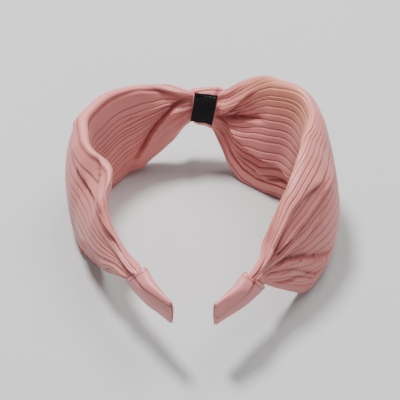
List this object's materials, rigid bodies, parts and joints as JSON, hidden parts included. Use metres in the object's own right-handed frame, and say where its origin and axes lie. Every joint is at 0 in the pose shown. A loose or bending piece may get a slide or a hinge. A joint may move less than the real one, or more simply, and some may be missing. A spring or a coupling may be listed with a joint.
{
  "type": "knotted headband",
  "caption": "Wide pleated satin headband over a springy plastic U strip, knotted at the crown, with plain satin tip caps and a small woven label inside.",
  "frame": {"origin": "below the middle of the band's box, on the surface that its lower fabric edges rest on", "axes": "+Z across the width of the band, +Y from the tips to the knot, +X to the right of the label's side; the band lies on its side"},
  "size_m": [0.1568, 0.1534, 0.081],
  "materials": {
    "core_plastic": "smooth moulded plastic",
    "pleated_satin": "pleated satin with a soft sheen",
    "knot_satin": "gathered pleated satin",
    "cap_satin": "plain folded satin",
    "woven_label": "black satin woven tape",
    "label_thread": "twisted thread",
    "pink_thread": "twisted thread",
    "hot_melt_glue": "set hot-melt glue"
  },
  "bodies": {
    "crown": {"band_core": "core_plastic", "knot_loop": "knot_satin", "woven_label": "woven_label", "label_stitches": "label_thread"},
    "left_leg": {"left_sleeve": "pleated_satin", "left_seam_thread": "pink_thread", "left_tip_cap": "cap_satin", "left_tip_glue": "hot_melt_glue"},
    "right_leg": {"right_sleeve": "pleated_satin", "right_seam_thread": "pink_thread", "right_tip_cap": "cap_satin", "right_tip_glue": "hot_melt_glue"}
  },
  "joints": [
    {"name": "left_leg_flex", "type": "hinge", "parent": "crown", "child": "left_leg", "pos_m": [-0.01213, 0.07043, 0.041], "axis": [0, 0, -1], "range_deg": [-3, 18], "stiffness_Nm_per_rad": 0.6, "deforming": ["band_core"]},
    {"name": "right_leg_flex", "type": "hinge", "parent": "crown", "child": "right_leg", "pos_m": [0.0113, 0.07043, 0.041], "axis": [0, 0, 1], "range_deg": [-3, 18], "stiffness_Nm_per_rad": 0.6, "deforming": ["band_core"]}
  ]
}
